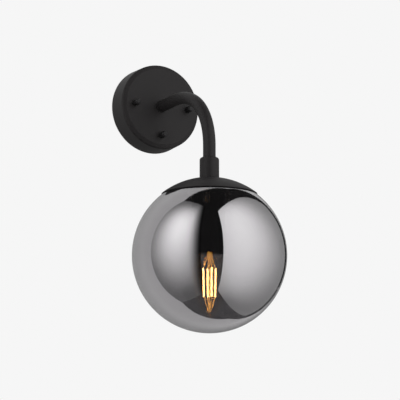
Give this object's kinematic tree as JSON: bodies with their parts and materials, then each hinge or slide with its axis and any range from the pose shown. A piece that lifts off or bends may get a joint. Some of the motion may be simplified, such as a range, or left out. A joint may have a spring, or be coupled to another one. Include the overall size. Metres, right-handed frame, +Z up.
{
  "type": "globe wall sconce",
  "caption": "Wall sconce: a smoked glass globe under a domed cap, hung from a bent tube arm on a round black canopy, with a candle-shaped filament bulb inside.",
  "frame": {"origin": "centre of the four wall-screw slots, on the wall plane behind the canopy", "axes": "+Z up, +Y into the wall, so the light stands out towards -Y, and +X to the right as seen from the room"},
  "size_m": [0.15, 0.2024, 0.2931],
  "materials": {
    "bracket_steel": "zinc plated",
    "zinc_fixings": "bright zinc plated",
    "tinned_tag": "tinned",
    "rubber_bush": "soft matt",
    "earth_brass": "bright",
    "earth_insulation": "green with yellow stripes",
    "block_plastic": "moulded, satin",
    "terminal_brass": "nickel-flashed brass",
    "matt_black": "fine matt black powder coat",
    "black_nut": "black enamel with a worn bright end",
    "carrier_steel": "nickel plated",
    "spring_steel": "polished spring steel",
    "holder_plastic": "black moulded thermoset",
    "core_ceramic": "unglazed white steatite",
    "contact_brass": "rolled brass",
    "live_insulation": "brown sleeving",
    "neutral_insulation": "blue sleeving",
    "smoked_glass": "glossy, smoke grey",
    "solder": "soft solder",
    "cap_brass": "rolled brass",
    "dark_glass": "dark vitrite",
    "amber_glass": "clear amber tint",
    "stem_glass": "clear",
    "filament": "glowing warm white",
    "nickel_wire": "drawn nickel"
  },
  "bodies": {
    "fixture": {"wall_bracket": "bracket_steel", "bracket_studs": "zinc_fixings", "stud_nuts": "zinc_fixings", "block_screw": "zinc_fixings", "arm_nipple": "zinc_fixings", "arm_star_washer": "zinc_fixings", "arm_lock_nut": "zinc_fixings", "drop_nipple": "zinc_fixings", "cap_star_washer": "zinc_fixings", "cap_lock_nut": "zinc_fixings", "carrier_nut": "zinc_fixings", "earth_tag": "tinned_tag", "inlet_grommet": "rubber_bush", "earth_screw": "earth_brass", "earth_washer": "earth_brass", "earth_lead": "earth_insulation", "terminal_block": "block_plastic", "terminal_sleeves": "terminal_brass", "terminal_screws": "terminal_brass", "holder_screws": "terminal_brass", "canopy": "matt_black", "arm_tube": "matt_black", "collar": "matt_black", "globe_cap": "matt_black", "holder_sleeve": "matt_black", "cap_nuts": "black_nut", "spring_carrier": "carrier_steel", "spring_rivets": "carrier_steel", "globe_springs": "spring_steel", "holder_top": "holder_plastic", "holder_body": "holder_plastic", "holder_core": "core_ceramic", "thread_shell": "contact_brass", "side_contact": "contact_brass", "centre_contact": "contact_brass", "live_lead": "live_insulation", "neutral_lead": "neutral_insulation"},
    "globe": {"glass_globe": "smoked_glass"},
    "bulb_lift": {"bulb_tip": "solder"},
    "bulb": {"bulb_insulator": "dark_glass", "bulb_screw_cap": "cap_brass", "bulb_glass": "amber_glass", "bulb_stem": "stem_glass", "bulb_filaments": "filament", "bulb_wires": "nickel_wire"}
  },
  "joints": [
    {"name": "globe_pull", "type": "slide", "parent": "fixture", "child": "globe", "axis": [0, 0, -1], "range_m": [0, 0.142]},
    {"name": "bulb_slide", "type": "slide", "parent": "fixture", "child": "bulb_lift", "axis": [0, 0, -1], "range_m": [0, 0.01128]},
    {"name": "bulb_turn", "type": "hinge", "parent": "bulb_lift", "child": "bulb", "pos_m": [0, -0.1274, -0.1711], "axis": [0, 0, -1], "range_deg": [0, 1440]}
  ],
  "couplings": [
    {"joint": "bulb_slide", "follows": "bulb_turn", "m_per_rad": 0.00044882}
  ]
}
